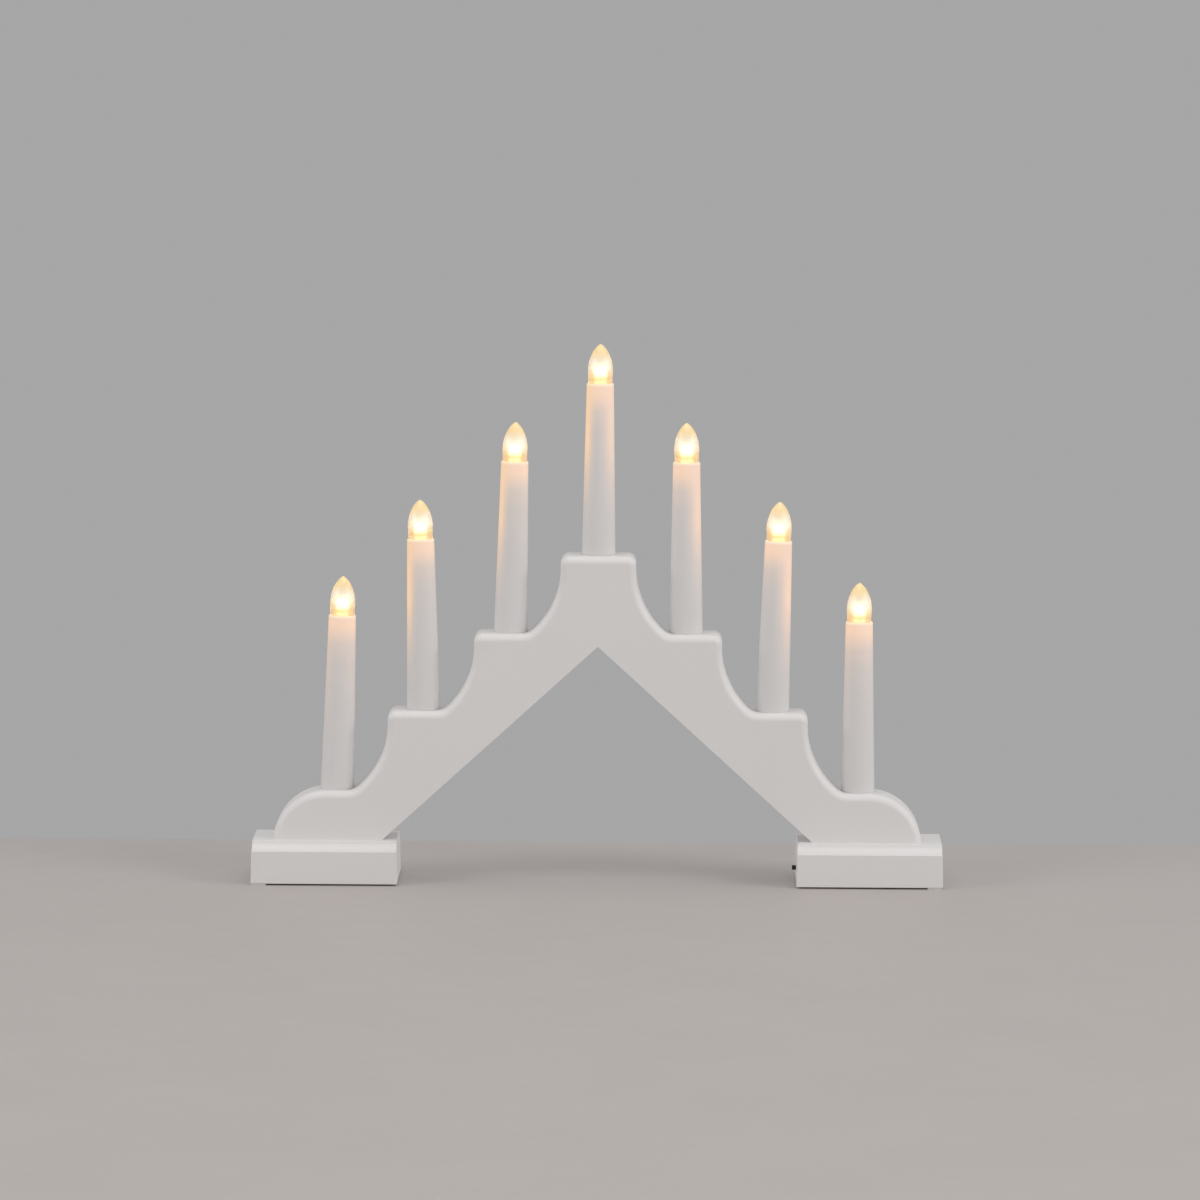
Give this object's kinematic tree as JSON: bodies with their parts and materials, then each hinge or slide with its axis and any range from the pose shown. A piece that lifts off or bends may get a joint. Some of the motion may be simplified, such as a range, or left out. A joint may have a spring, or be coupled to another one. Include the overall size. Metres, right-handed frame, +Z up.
{
  "type": "advent candlestick",
  "caption": "Stepped arch candlestick in white plastic with flame-shaped LED lamps on plastic candles, standing on feet that hold the battery bay and the slide switch.",
  "frame": {"origin": "on the table plane, midway between the feet along X and midway through the depth along Y", "axes": "+X along the arch towards the foot with the switch, +Y from the front to the back, +Z up"},
  "size_m": [0.292, 0.04, 0.228],
  "materials": {
    "white_plastic": "satin moulded",
    "candle_plastic": "satin, slightly translucent",
    "clear_plastic": "clear, fluted",
    "lit_lens": "lit, warm white",
    "holder_plastic": "moulded",
    "steel": "zinc plated",
    "contact_metal": "nickel plated",
    "cell_sleeve": "printed sleeve, bare",
    "switch_metal": "tinned",
    "black_plastic": "satin",
    "board_resin": "resin bonded paper",
    "wire_sheath": "PVC sheath"
  },
  "bodies": {
    "candlestick": {"front_arch_shell": "white_plastic", "rear_arch_shell": "white_plastic", "left_foot": "white_plastic", "right_foot": "white_plastic", "left_base_plate": "white_plastic", "switch_cover": "white_plastic", "candle_tube_1": "candle_plastic", "candle_tube_2": "candle_plastic", "candle_tube_3": "candle_plastic", "candle_tube_4": "candle_plastic", "candle_tube_5": "candle_plastic", "candle_tube_6": "candle_plastic", "candle_tube_7": "candle_plastic", "flame_cap_1": "clear_plastic", "flame_cap_2": "clear_plastic", "flame_cap_3": "clear_plastic", "flame_cap_4": "clear_plastic", "flame_cap_5": "clear_plastic", "flame_cap_6": "clear_plastic", "flame_cap_7": "clear_plastic", "led_1": "lit_lens", "led_2": "lit_lens", "led_3": "lit_lens", "led_4": "lit_lens", "led_5": "lit_lens", "led_6": "lit_lens", "led_7": "lit_lens", "led_holder_1": "holder_plastic", "led_holder_2": "holder_plastic", "led_holder_3": "holder_plastic", "led_holder_4": "holder_plastic", "led_holder_5": "holder_plastic", "led_holder_6": "holder_plastic", "led_holder_7": "holder_plastic", "arch_screw_1": "steel", "arch_screw_2": "steel", "arch_screw_3": "steel", "arch_screw_4": "steel", "arch_screw_5": "steel", "arch_screw_6": "steel", "foot_screw_1": "steel", "foot_screw_2": "steel", "foot_screw_3": "steel", "foot_screw_4": "steel", "positive_contact": "contact_metal", "negative_contact": "contact_metal", "outer_link_contact": "contact_metal", "inner_link_contact": "contact_metal", "battery_1": "cell_sleeve", "battery_2": "cell_sleeve", "battery_3": "cell_sleeve", "switch_body": "switch_metal", "circuit_board": "board_resin", "wiring_loom": "wire_sheath", "positive_lead": "wire_sheath"},
    "switch_slider": {"switch_slider": "black_plastic"},
    "battery_lid": {"battery_lid": "white_plastic"}
  },
  "joints": [
    {"name": "switch_slide", "type": "slide", "parent": "candlestick", "child": "switch_slider", "axis": [0, 1, 0], "range_m": [0, 0.002]},
    {"name": "battery_lid_slide", "type": "slide", "parent": "candlestick", "child": "battery_lid", "axis": [1, 0, 0], "range_m": [0, 0.052]}
  ]
}
